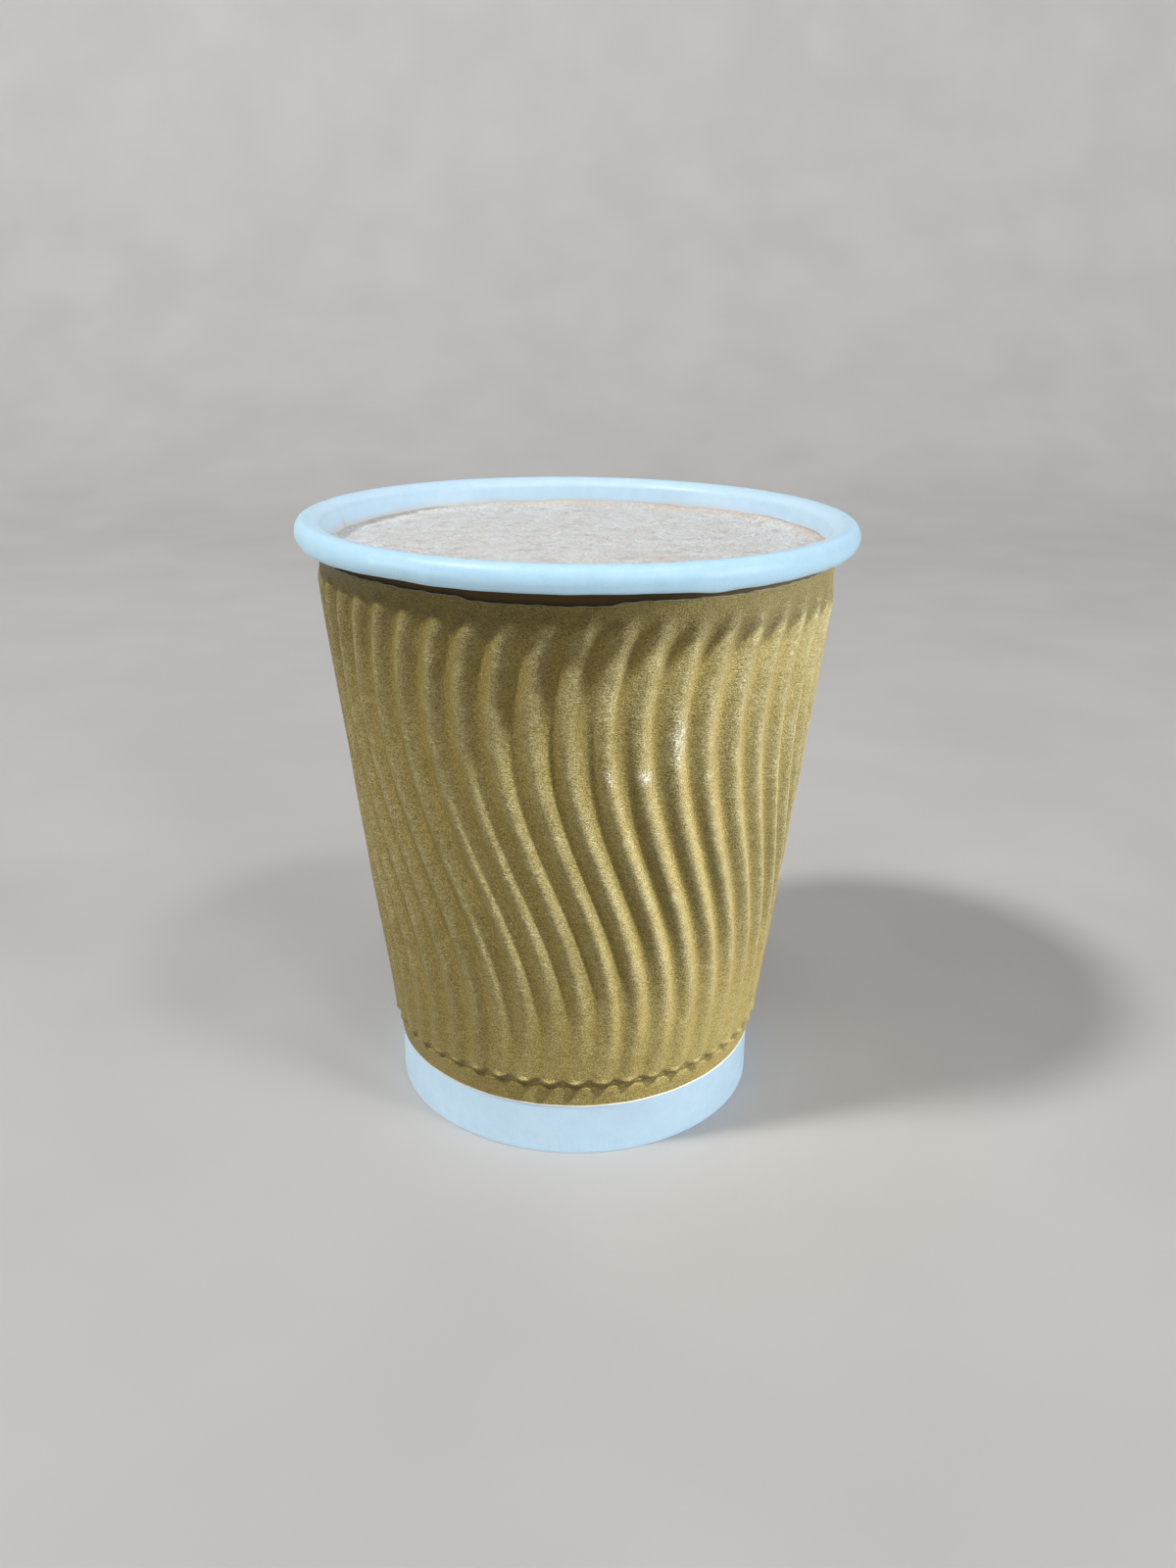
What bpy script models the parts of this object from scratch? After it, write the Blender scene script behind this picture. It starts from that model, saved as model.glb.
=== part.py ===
"""A paper cup of caffe mocha: the cup wall with its rolled rim and folded base,
the raised bottom, the rippled sleeve round the cup, and the drink up to its froth.

Metres, +Z up. The origin is the centre of the ring that the cup stands on.
Turned parts are profiles of (radius, height). Angles round the cup are measured
about +Z from -Y, the front, towards +X.
"""

import math

import bpy

MM = 0.001

# The cup as sold: 8 oz, 80 mm rim
CUP_HEIGHT = 89.3 * MM
RIM_RADIUS = 40.0 * MM
PAPER = 0.35 * MM
GAP = 0.25 * MM
TURN_STEPS = 64

# Rolled rim: its outer side below the crest, and the curl inside the crest
BEAD_SIDE = 1.4 * MM
BEAD_HALF_TALL = 1.8 * MM
BEAD_POINTS = 10
BEAD_TUCK_ANGLE = math.radians(-150)
CURL_TALL = 1.55 * MM
CURL_POINTS = 4

# Base: the wall folds inwards round the skirt of the bottom
BASE_RADIUS = 28.15 * MM
BASE_RADIUS_AT_SLEEVE = 28.12 * MM
FOLD_HEIGHT = 6.0 * MM
FOLD_EASE = 0.3 * MM
SLOT_FLOOR = 0.6 * MM
BOTTOM_HEIGHT = 7.0 * MM
BOTTOM_THICKNESS = 0.4 * MM
SHOULDER = 0.35 * MM

# Sleeve: the crests of its ribs lie on one cone
SLEEVE_LOW = 8.15 * MM
SLEEVE_HIGH = 84.3 * MM
CREST_RADIUS_AT_FLOOR = 28.08 * MM
CREST_SLOPE = 0.1124
BAND_BELOW_CREST = 0.72 * MM
BACK_BELOW_CREST = 1.2 * MM

# Ribs
RIB_COUNT = 48
COLUMNS_PER_RIB = 4
RIB_LOW = 12.0 * MM
RIB_HIGH = 83.3 * MM
RIB_DEPTH = 0.9 * MM
RIB_CREST_POWER = 0.8
RIB_TOP_END = 2.4 * MM
RIB_LOW_END = 1.6 * MM
RIB_END_ROWS = (0.0, 0.13, 0.44, 1.0)
RIB_LENGTH_ROWS = 11

# The S that every rib follows: half a wave from its leftmost to its rightmost height
SWING_MIDDLE = math.radians(-7.4)
SWING_REACH = math.radians(9.4)
SWING_LEFTMOST_HEIGHT = 67.9 * MM
SWING_HALF_WAVE = 46.3 * MM

# Drink
FROTH_LEVEL = 84.9 * MM
MENISCUS_RISE = 0.72 * MM
MENISCUS_REACH = 2.2 * MM
MENISCUS_POINTS = 3

SHARP_ANGLE = math.radians(40)


def crest_radius(height):
    return CREST_RADIUS_AT_FLOOR + CREST_SLOPE * height


def wall_outer_radius(height):
    """The cup wall's outer cone, where the sleeve covers it."""
    return crest_radius(height) - BACK_BELOW_CREST - GAP


def wall_inner_radius(height):
    return wall_outer_radius(height) - PAPER


def swing(height):
    """How far round the cup a rib's crest has swung at this height."""
    phase = math.pi * (SWING_LEFTMOST_HEIGHT - height) / SWING_HALF_WAVE
    return SWING_MIDDLE - SWING_REACH * math.cos(phase)


def rib_fullness(height):
    """0 at a rib's two ends, rising to 1 along a quarter ellipse at each."""
    from_end = min((height - RIB_LOW) / RIB_LOW_END, (RIB_HIGH - height) / RIB_TOP_END)
    share = min(max(from_end, 0.0), 1.0)
    return math.sqrt(1.0 - (1.0 - share) ** 2)


def rib_section(phase):
    """Height of the ripple across the ribs: 1 on a crest, 0 in a valley."""
    return (0.5 + 0.5 * math.cos(phase)) ** RIB_CREST_POWER


def material(name, color, roughness, metallic=0.0):
    made = bpy.data.materials.new(name)
    made.use_nodes = True
    shader = made.node_tree.nodes["Principled BSDF"]
    shader.inputs["Base Color"].default_value = (*color, 1.0)
    shader.inputs["Roughness"].default_value = roughness
    shader.inputs["Metallic"].default_value = metallic
    return made


def turned(name, profile, closed, steps, collection, finish):
    """Turns a profile about Z into a solid. It runs down its outer side; an open
    one starts and ends on the axis."""
    links = [(i, i + 1) for i in range(len(profile) - 1)]
    if closed:
        links.append((len(profile) - 1, 0))
    line = bpy.data.meshes.new(name + "_profile")
    line.from_pydata([(radius, 0.0, height) for radius, height in profile], links, [])
    lathe = bpy.data.objects.new(name + "_profile", line)
    collection.objects.link(lathe)
    screw = lathe.modifiers.new("turn", "SCREW")
    screw.axis = "Z"
    screw.angle = math.tau
    screw.steps = steps
    screw.render_steps = steps
    screw.use_merge_vertices = True
    screw.merge_threshold = 1e-6
    graph = bpy.context.evaluated_depsgraph_get()
    solid_mesh = bpy.data.meshes.new_from_object(lathe.evaluated_get(graph))
    bpy.data.objects.remove(lathe)
    bpy.data.meshes.remove(line)
    solid_mesh.name = name
    solid_mesh.materials.clear()
    solid_mesh.materials.append(finish)
    solid_mesh.shade_smooth()
    solid_mesh.set_sharp_from_angle(angle=SHARP_ANGLE)
    solid = bpy.data.objects.new(name, solid_mesh)
    collection.objects.link(solid)
    return solid


def bead_profile():
    """The rim's section, from the wall's inner side over the top and tucked under."""
    rim_crest = RIM_RADIUS - BEAD_SIDE
    center_height = CUP_HEIGHT - BEAD_HALF_TALL
    curl_low = CUP_HEIGHT - CURL_TALL
    curl_width = rim_crest - wall_inner_radius(curl_low)
    points = []
    for i in range(CURL_POINTS):
        angle = math.pi / 2 * i / CURL_POINTS
        points.append(
            (rim_crest - curl_width * math.cos(angle), curl_low + CURL_TALL * math.sin(angle))
        )
    for i in range(BEAD_POINTS):
        angle = math.pi / 2 + (BEAD_TUCK_ANGLE - math.pi / 2) * i / (BEAD_POINTS - 1)
        points.append(
            (
                rim_crest + BEAD_SIDE * math.cos(angle),
                center_height + BEAD_HALF_TALL * math.sin(angle),
            )
        )
    return points


def fold_radii():
    """Inner and outer radius of the leg that the wall folds up inside the base."""
    slot_outer = BASE_RADIUS - PAPER
    slot_inner = slot_outer - 2 * GAP - PAPER
    return slot_inner - PAPER, slot_inner


def cup_wall(collection):
    leg_inner, leg_outer = fold_radii()
    base_inner = BASE_RADIUS - PAPER
    shoulder_high = SLEEVE_LOW - SHOULDER
    cone_low = SLEEVE_LOW + SHOULDER
    under_bead = bead_profile()[-1][1]
    profile = bead_profile() + [
        (wall_outer_radius(under_bead), under_bead),
        (wall_outer_radius(cone_low), cone_low),
        (wall_outer_radius(SLEEVE_LOW), SLEEVE_LOW - GAP / 2),
        (BASE_RADIUS_AT_SLEEVE, shoulder_high),
        (BASE_RADIUS, FOLD_EASE),
        (BASE_RADIUS - FOLD_EASE, 0.0),
        (leg_inner + FOLD_EASE, 0.0),
        (leg_inner, FOLD_EASE),
        (leg_inner, FOLD_HEIGHT),
        (leg_outer, FOLD_HEIGHT),
        (leg_outer, SLOT_FLOOR),
        (base_inner, SLOT_FLOOR),
        (base_inner, BOTTOM_HEIGHT + GAP),
        (wall_inner_radius(cone_low), cone_low),
    ]
    paper = material("coated_white_paper", (0.72, 0.80, 0.86), 0.4)
    return turned("cup_wall", profile, True, TURN_STEPS, collection, paper)


def cup_bottom(collection):
    skirt_outer = BASE_RADIUS - PAPER - GAP
    skirt_inner = skirt_outer - PAPER
    underside = BOTTOM_HEIGHT - BOTTOM_THICKNESS
    skirt_low = SLOT_FLOOR + GAP
    profile = [
        (0.0, BOTTOM_HEIGHT),
        (skirt_outer - FOLD_EASE, BOTTOM_HEIGHT),
        (skirt_outer, BOTTOM_HEIGHT - FOLD_EASE),
        (skirt_outer, skirt_low),
        (skirt_inner, skirt_low),
        (skirt_inner, underside),
        (0.0, underside),
    ]
    paper = material("bottom_white_paper", (0.72, 0.78, 0.82), 0.5)
    return turned("cup_bottom", profile, False, TURN_STEPS, collection, paper)


def sleeve_rows():
    """Heights of the outer side's rows, from the top edge down."""
    top_end = [RIB_HIGH - share * RIB_TOP_END for share in RIB_END_ROWS]
    bottom_end = [RIB_LOW + share * RIB_LOW_END for share in reversed(RIB_END_ROWS)]
    step = (bottom_end[0] - top_end[-1]) / RIB_LENGTH_ROWS
    along = [top_end[-1] + step * (i + 1) for i in range(RIB_LENGTH_ROWS - 1)]
    return [SLEEVE_HIGH] + top_end + along + bottom_end + [SLEEVE_LOW]


def sleeve_back_swing(height):
    """The back follows the swing at the two edges and runs straight between them."""
    share = (height - SLEEVE_LOW) / (SLEEVE_HIGH - SLEEVE_LOW)
    return swing(SLEEVE_LOW) + share * (swing(SLEEVE_HIGH) - swing(SLEEVE_LOW))


def ripple(mesh):
    """Raises the ribs on the sleeve's outer side and bends every column into the S."""
    outside_from = (BACK_BELOW_CREST + BAND_BELOW_CREST) / 2
    for vertex in mesh.vertices:
        x, y, height = vertex.co
        radius = math.hypot(x, y)
        angle = math.atan2(x, -y)
        if radius > crest_radius(height) - outside_from:
            crest = RIB_DEPTH * rib_section(RIB_COUNT * angle)
            ribbed = crest_radius(height) - RIB_DEPTH + crest
            radius += rib_fullness(height) * (ribbed - radius)
            angle += swing(height)
        else:
            angle += sleeve_back_swing(height)
        vertex.co = (radius * math.sin(angle), -radius * math.cos(angle), height)


def sleeve(collection):
    outer = [(crest_radius(z) - BAND_BELOW_CREST, z) for z in sleeve_rows()]
    middle = (SLEEVE_LOW + SLEEVE_HIGH) / 2
    inner = [
        (crest_radius(z) - BACK_BELOW_CREST, z) for z in (SLEEVE_LOW, middle, SLEEVE_HIGH)
    ]
    card = material("gold_ripple_card", (0.33, 0.27, 0.12), 0.45, 0.3)
    columns = RIB_COUNT * COLUMNS_PER_RIB
    solid = turned("sleeve", outer + inner, True, columns, collection, card)
    ripple(solid.data)
    solid.data.update()
    return solid


def drink(collection):
    low = BOTTOM_HEIGHT + GAP
    cone_low = SLEEVE_LOW + SHOULDER
    edge_height = FROTH_LEVEL + MENISCUS_RISE
    edge_radius = wall_inner_radius(edge_height) - GAP
    foot_radius = wall_inner_radius(cone_low) - GAP
    meniscus = []
    for i in range(MENISCUS_POINTS + 1):
        share = i / MENISCUS_POINTS
        meniscus.append(
            (
                edge_radius - MENISCUS_REACH * (1 - share),
                FROTH_LEVEL + MENISCUS_RISE * share**2,
            )
        )
    profile = [(0.0, FROTH_LEVEL)] + meniscus
    profile += [(foot_radius, cone_low), (foot_radius, low), (0.0, low)]
    froth = material("milk_froth", (0.66, 0.64, 0.62), 0.6)
    return turned("drink", profile, False, TURN_STEPS, collection, froth)


def main():
    for old in list(bpy.data.objects):
        bpy.data.objects.remove(old)
    cup = bpy.data.collections.new("cup_of_caffe_mocha")
    bpy.context.scene.collection.children.link(cup)
    cup_wall(cup)
    cup_bottom(cup)
    sleeve(cup)
    drink(cup)


main()
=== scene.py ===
"""Looks of the cup of caffe mocha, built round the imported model.

Lengths are in millimetres until a mesh is made, and metres from then on. Angles
round the cup are in radians about +Z, from -Y, the front, towards +X.
"""

import math

import bpy
import numpy as np
from mathutils import Matrix, Vector


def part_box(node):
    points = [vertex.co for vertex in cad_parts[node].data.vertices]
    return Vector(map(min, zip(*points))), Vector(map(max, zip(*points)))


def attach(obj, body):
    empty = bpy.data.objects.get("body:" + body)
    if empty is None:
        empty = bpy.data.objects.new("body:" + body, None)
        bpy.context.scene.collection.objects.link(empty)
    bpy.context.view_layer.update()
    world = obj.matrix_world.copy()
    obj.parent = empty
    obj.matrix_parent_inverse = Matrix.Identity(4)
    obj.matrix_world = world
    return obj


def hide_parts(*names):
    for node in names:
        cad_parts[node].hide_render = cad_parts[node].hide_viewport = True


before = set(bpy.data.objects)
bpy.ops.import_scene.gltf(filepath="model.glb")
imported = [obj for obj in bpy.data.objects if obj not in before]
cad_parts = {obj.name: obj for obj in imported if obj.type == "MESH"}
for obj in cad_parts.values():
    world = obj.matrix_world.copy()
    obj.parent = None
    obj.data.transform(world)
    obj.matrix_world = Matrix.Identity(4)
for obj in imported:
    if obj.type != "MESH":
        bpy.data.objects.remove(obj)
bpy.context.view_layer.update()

MM = 0.001
TAU = math.tau


def node_box(name):
    """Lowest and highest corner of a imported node, in millimetres."""
    low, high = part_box(name)
    return np.array(low) / MM, np.array(high) / MM


# ---- The whole cup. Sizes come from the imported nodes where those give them

_, WALL_HIGH = node_box("cup_wall")
SLEEVE_BOX_LOW, SLEEVE_BOX_HIGH = node_box("sleeve")
BOTTOM_LOW, BOTTOM_HIGH = node_box("cup_bottom")

CUP_HEIGHT = WALL_HIGH[2]
RIM_RADIUS = WALL_HIGH[0]
PAPER = 0.35
GAP = 0.25
CUP_COLUMNS = 960
EASE_POINTS = 4
# The whole cup leans a little to the left
LEAN = -0.004
LEAN_ABOUT = 45.0

# An uneven curve round the cup is given as its size, its waves and its seed, and
# an uneven field over the froth as the size of its features and its seed.

# ---- Rolled rim

# Its round part from the crest outwards, and the curl inside the crest
BEAD_SIDE = 1.4
BEAD_HALF_TALL = 1.8
BEAD_OUTER_ROWS = 24
BEAD_TUCK = math.radians(-150)
CURL_TALL = 1.55
CURL_ROWS = 14
# The lapped seam at the left: its width, the flat share of it, the half width of its
# sharp edge in radians, its step inwards, and the drop of the crest beside it
RIM_SEAM = math.radians(-102)
RIM_SEAM_LAP = math.radians(7)
RIM_SEAM_FLAT = 0.7
RIM_SEAM_EDGE = 0.006
RIM_SEAM_STEP = 0.22
RIM_SEAM_DROP = 0.12
RIM_SEAM_DROP_WIDE = 0.12
# The rim is drawn in a little here and there, and its underside is uneven
RIM_PINCH = 0.02
RIM_PINCH_CURVE = (1.0, (7, 19, 31), 13)
RIM_SAG_CURVE = (0.04, (11, 17, 29, 41), 12)
# Where the rim's underside sags or lifts: angle and width in degrees, drop in mm
RIM_SAGS = ((25.5, 4.5, 0.26), (36, 12, 0.12), (-35, 8, -0.18), (-60, 9, 0.16), (4, 12, -0.08))
# How far inside the crest the rim's bluer tone, which is painted shade, has turned into the wall's
RIM_TONE_WIDE = 1.3

# ---- Wall and foot

# The foot, and the fold under it that holds the bottom's skirt
BASE_RADIUS = 28.15
BASE_RADIUS_AT_SLEEVE = 28.12
FOLD_HEIGHT = 6.0
FOLD_EASE = 0.3
SLOT_FLOOR = 0.6
FOOT_EASE = 0.14
FOOT_ROWS = 14
# How far inside the base radius a point still counts as the foot's outer side
FOOT_SKIN = 0.5
FOOT_CURVE = (0.05, (2, 3, 5), 22)
# The foot runs up behind the sleeve, and the wall's cone begins a little higher
TUCK_INSET = 0.02
TUCK_UP = 0.6
WALL_FROM = 10.0
INNER_WALL_FROM = 9.0
INNER_FINE_FROM = 80.0
INNER_FINE_ROWS = 14
# Upright grooves that are pressed into the foot, and partly worn away
KNURLS = 192
KNURL_DEPTH = 0.05
KNURL_FULL_FROM = 0.5
KNURL_FULL_TO = 1.4
KNURL_TOP = 3.2
KNURL_WEAR_CURVE = (0.8, (2, 3, 5, 7), 21)
SMOOTH_BELOW_PAPER = math.radians(50)

# The stain just above the froth
STAIN_FLAT = 0.1
STAIN_REACH = 0.55
STAIN_CURVE = (0.25, (5, 9, 14, 23), 31)
STAIN_LOWEST = 3
STAIN_STRENGTH = 0.75
# Its spike up the seam, with the half width at the tip and what the foot adds to it
SPIKE_AT = RIM_SEAM - 0.01
SPIKE_TALL = 2.9
SPIKE_THIN = 0.25
SPIKE_ADDED_WIDE = 0.9
SPIKE_STRENGTH = 0.9

# Bottom: radii of its upper side, its edges' rounding and its shallow panel
BOTTOM_COLUMNS = 192
BOTTOM_THICK = 0.4
BOTTOM_RADII = (6.0, 16.0, 24.0)
BOTTOM_OUTER_EASE = 0.3
BOTTOM_INNER_EASE = 0.4
PANEL_RADIUS = 25.2
PANEL_SLOPE = 0.4
PANEL_DEPTH = 0.12

# ---- Sleeve

SLEEVE_LOW = SLEEVE_BOX_LOW[2]
SLEEVE_HIGH = SLEEVE_BOX_HIGH[2]
# The cone of the ribs' crests, and what lies how far inside it
CREST_AT_FLOOR = 28.08
CREST_SLOPE = 0.1124
BAND_BELOW_CREST = 0.72
BACK_BELOW_CREST = 1.2
# The card's least thickness, and its inner side's least radius and its rows
CARD_LEAST = 0.05
SLEEVE_BACK_LEAST = 28.05
SLEEVE_BACK_LEVELS = (SLEEVE_LOW, 30.0, 52.0, 68.0, SLEEVE_HIGH)
# A dark brown lip, painted shade for the gap under the rim, stands up out of the sleeve
SHADOW_LIP_RISE = 0.95
SHADOW_LIP_THICK = 0.10
SMOOTH_BELOW_CARD = math.radians(60)
# The cut edges: how far into the card their unevenness reaches, the upper edge's rise
# and its dip in front, and the lower edge's rise and its tilt up to the right
EDGE_ZONE = 2.0
TOP_EDGE_RISE = 0.08
TOP_EDGE_DIP = 0.48
TOP_DIP_FROM = math.radians(-24)
TOP_DIP_TO = math.radians(5.5)
TOP_DIP_EASE = math.radians(4)
TOP_EDGE_CURVE = (0.07, (12, 31, 57, 90), 42)
LOW_EDGE_CURVE = (0.05, (2, 5, 9, 26), 43)
LOW_EDGE_SIDES = 0.15
LOW_EDGE_RISE = 0.02
LOW_EDGE_TILT = 0.2
LOW_EDGE_RIGHT = 0.2
# The card bulges in and out a little, by turns up its height
BULGE_CURVE = (0.06, (3, 5, 8), 41)
BULGE_TALL = 11
# Marks on the sleeve, as angle in degrees, height, reach round the cup and upwards in mm
SCUFFS = (
    (14.5, 61.3, 0.9, 0.7), (6.8, 61.5, 0.4, 0.7), (18.3, 52.1, 0.7, 0.5), (21.5, 66.4, 1.0, 2.4),
)
CRACKS = ((25.3, 68.5, 0.9, 0.16), (-60.5, 76.5, 0.2, 0.45))

# Mesh rows: the spacing where the ribs end, and how far beyond the ends it runs
TOP_ROW_STEP = 0.25
LOW_ROW_STEP = 0.14
LOW_ROWS_ABOVE = 2.6
LOW_ROWS_BELOW = 0.9
SLEEVE_MIDDLE_ROWS = 86
LOW_BAND_ROWS = (10.2, 9.2, SLEEVE_LOW + 0.22, SLEEVE_LOW)

# ---- Ribs

RIB_COUNT = 48
RIB_COLUMNS = 15
RIB_LOW = 12.0
RIB_HIGH = 83.5
RIB_POWER = 0.95
RIB_SEED = 5
RIB_DEPTH = 0.95
RIB_DEPTH_SPREAD = (0.94, 1.06)
RIB_SWAY = 0.18
# The valleys are deeper towards the upper left
RIB_DEEPENING = 0.12
RIB_DEEPER_FROM = 56.0
RIB_DEEPER_TO = 72.0
# Near the foot the ribs are shallow and stay out
RIB_DEPTH_LOW = 0.3
RIB_FULL_FROM = 38.0
RIB_LOW_OUT = 0.6
# Rounded ends, the tips above and the noses below: their radii, how strongly those bend
# the ends, and how long the ends are. The tips are drawn out, most of all on the right
RIB_TIP = 2.0
RIB_TIP_BEND = 0.4
RIB_TOP_END = 3.4
RIB_TOP_DRAWN = 1.25
RIB_TOP_DRAWN_RIGHT = 0.25
RIB_NOSE = 1.5
RIB_NOSE_BEND = 0.45
RIB_LOW_END = 0.88
# The bump on a rib's lower end, and the crease below it
NOSE_BUMP = 0.2
NOSE_BUMP_SPREAD = (0.7, 1.15)
NOSE_RISE = 0.68
NOSE_TALL = 0.36
NOSE_WIDE = 0.72
CREASE_DEPTH = 0.12
CREASE_BELOW = 0.25
CREASE_TALL = 0.28

# The wave of the ribs' crest lines
SWING_MIDDLE = math.radians(-7.4)
SWING_REACH = math.radians(9.4)
SWING_LEFTMOST = 67.9
SWING_HALF_WAVE = 46.3

# ---- Froth

FROTH_LEVEL = 84.9
FROTH_CELLS = 236
FROTH_OVERLAP = 0.06
FROTH_SIDE_FROM = 83.0
# The climb at the wall, which is highest on one side, and how far in it keeps the
# lumps away
FROTH_RISE = 0.72
FROTH_REACH = 2.4
FROTH_HIGHEST = math.radians(105)
FROTH_TILT = 0.22
FROTH_EDGE_CURVE = (0.12, (4, 7, 11, 18), 61)
FROTH_CALM = 1.2
# Swells, dimples and crumbs of the skin, with their heights
SWELL_FIELD, SWELL_TALL = (5.5, 62), 0.10
DIMPLE_FIELD, DIMPLE_TALL = (1.9, 63), 0.09
CRUMB_FIELD, CRUMB_TALL = (0.9, 64), 0.07
# How dark the low spots are painted, as painted shade: from what depth, by dimples and by crumbs,
# and the most
HOLLOW_FROM = 0.35
HOLLOW_BY_DIMPLES = 1.3
HOLLOW_BY_CRUMBS = 0.8
HOLLOW_MOST = 0.28
# Bubbles, as least and greatest radius and count, and the moats round them
BUBBLES = ((0.3, 0.5, 60), (0.5, 0.9, 12))
BUBBLE_SEED = 65
BUBBLE_FROM_WALL = 1.0
BUBBLE_POPPED_SHARE = 0.55
BUBBLE_HEIGHT = 0.28
BUBBLE_DEPTH = 0.42
BUBBLE_REACH = 1.5
# How dark the middles of whole and popped bubbles are painted; in the popped ones it is painted
# shade
BUBBLE_HOLLOW = 0.1
POPPED_HOLLOW = 0.55
MOAT_AT = 1.1
MOAT_WIDE = 0.18
MOAT_DEPTH = 0.03
# Popped bubbles that stand out, as x, y and radius
FROTH_PITS = (
    (-5.8, 31.5, 0.6), (-2.0, 27.7, 0.5), (-0.3, 30.2, 0.8), (2.1, 32.1, 0.5), (1.4, 25.6, 0.5),
    (4.6, 26.2, 0.6), (-1.1, 16.6, 0.6), (-17.5, 12.3, 0.7), (-21.6, 9.1, 0.7),
)
# Their depth, and how dark they are painted, as painted shade
PIT_DEPTH = 0.35
PIT_HOLLOW = 0.75
# Folds of the skin and a stain, as their two ends and half their width
FROTH_CREASES = ((-8.8, 0.9, -5.0, -2.2, 0.4), (-5.0, -2.2, 1.5, -5.4, 0.22))
# The folds' depth, and how dark they are painted, as painted shade
FOLD_DEPTH = 0.25
FOLD_HOLLOW = 0.6
FROTH_STREAK = (6.9, -10.4, 15.9, -10.8, 0.8)
STREAK_BROWN = 0.7
# The brown edge, which is widest and strongest on one side
FROTH_BROWNEST = math.radians(140)
BROWN_LEAST_WIDE = 0.7
BROWN_ADDED_WIDE = 1.8
BROWN_CURVE = (0.45, (3, 5, 8, 13), 66)
BROWN_FIELD, BROWN_PATCHY = (1.4, 67), 0.25
BROWN_LEAST = 0.5
BROWN_ADDED = 0.4
BROWN_BELOW = 0.8

# ---- Floor, in millimetres, and lamps, in metres

FLOOR_HALF_WIDE = 1500.0
FLOOR_FRONT = -1200.0
FLOOR_BACK = 900.0
FLOOR_BEND = 400.0
FLOOR_BEND_POINTS = 13
BACKDROP_TOP = 1400.0

LAMP_DISTANCE = 1.6
LAMPS_AIM = (0, 0, 55 * MM)
WHITE, COOL, WARM, SKY = (1.0, 1.0, 1.0), (0.97, 0.98, 1.0), (1.0, 1.0, 0.97), (0.84, 0.90, 1.0)
# Name, azimuth and elevation in degrees, diameter, power in watts and colour
CARD_LAMPS = (
    ("Card_key_right", 46, 66, 0.1, 87.0, SKY),
    ("Card_left", -65, 56, 0.1, 25.0, WARM),
    ("Card_far_left", -82, 59, 0.1, 6.3, WARM),
    ("Card_low_right", 90, 12, 0.4, 39.0, SKY),
    ("Card_front", 0, 60, 0.2, 10.9, WHITE),
    ("Card_back", 180, 25, 0.8, 58.0, WHITE),
)
OTHER_LAMPS = (
    ("Key_right", 46, 58, 0.2, 4.0, COOL),
    ("Front_right", 30, 25, 0.4, 4.5, COOL),
    ("Top", 0, 80, 0.4, 2.2, WHITE),
    ("Left", -65, 54, 0.2, 14.5, WARM),
    ("Low_right", 66, 8, 0.6, 12.0, COOL),
    ("Low_left", -75, 8, 0.6, 6.3, WHITE),
    ("Back", 180, 8, 0.8, 14.0, WHITE),
)
ROOM_COLOR = (0.97, 0.97, 1.0)
ROOM_STRENGTH = 0.09

# ---- Camera, with its place in millimetres

CAMERA_AT = (0, -185.91, 118.12)
CAMERA_PITCH = math.radians(20.769)
CAMERA_YAW = math.radians(0.549)
CAMERA_ROLL = math.radians(0.759)
CAMERA_LENS = 29.47
CAMERA_SENSOR = 36
CAMERA_NEAR = 0.01


# ---- Random fields, seeded


def wobble(angle, size, waves, seed):
    """A smooth closed curve round the cup, about -size to size."""
    rng = np.random.default_rng(seed)
    total = np.zeros_like(angle)
    for wave in waves:
        total = total + rng.uniform(0.5, 1) * np.cos(wave * angle + rng.uniform(0, TAU))
    return size * (total / math.sqrt(len(waves)))


def field(x, y, size, seed):
    """Smooth random heights from -1 to 1 over the plane, with features of one size."""
    cells = 256
    grid = np.random.default_rng(seed).uniform(-1, 1, (cells, cells))
    u, v = x / size + cells / 2, y / size + cells / 2
    column, row = np.floor(u).astype(int), np.floor(v).astype(int)
    across, along = u - column, v - row
    across = across * across * (3 - 2 * across)
    along = along * along * (3 - 2 * along)
    column, row = column % cells, row % cells
    right, up = (column + 1) % cells, (row + 1) % cells
    low = grid[row, column] * (1 - across) + grid[row, right] * across
    high = grid[up, column] * (1 - across) + grid[up, right] * across
    return low * (1 - along) + high * along


def smooth(share):
    """Eases a share in and out, and keeps it within 0 and 1."""
    share = np.clip(share, 0, 1)
    return share * share * (3 - 2 * share)


def turn_between(angle, middle):
    """Signed angle from middle to angle, within half a turn."""
    return (angle - middle + math.pi) % TAU - math.pi


# ---- Meshes


def angles_round(count):
    """Angles of evenly spaced columns round the cup."""
    return np.arange(count) * TAU / count


def turned_grid(outline, columns):
    """Radius, angle and height of each point of a section turned about the axis."""
    angle, _ = np.meshgrid(angles_round(columns), outline[:, 0])
    radius = np.repeat(outline[:, :1], columns, axis=1)
    height = np.repeat(outline[:, 1:], columns, axis=1)
    return radius, angle, height


def round_points(radius, angle, height):
    """Points in space from radius, angle and height."""
    return np.stack([radius * np.sin(angle), -radius * np.cos(angle), height], axis=-1)


def make_object(name, points, faces, material, attributes=()):
    """A smooth-shaded object from points in millimetres, with a number at each point
    for every attribute."""
    mesh = bpy.data.meshes.new(name)
    mesh.from_pydata((points.reshape(-1, 3) * MM).tolist(), [], faces)
    mesh.materials.append(material)
    for key, values in attributes:
        layer = mesh.attributes.new(key, "FLOAT", "POINT")
        layer.data.foreach_set("value", np.asarray(values, np.float32).ravel())
    mesh.shade_smooth()
    piece = bpy.data.objects.new(name, mesh)
    bpy.context.scene.collection.objects.link(piece)
    return piece


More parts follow.
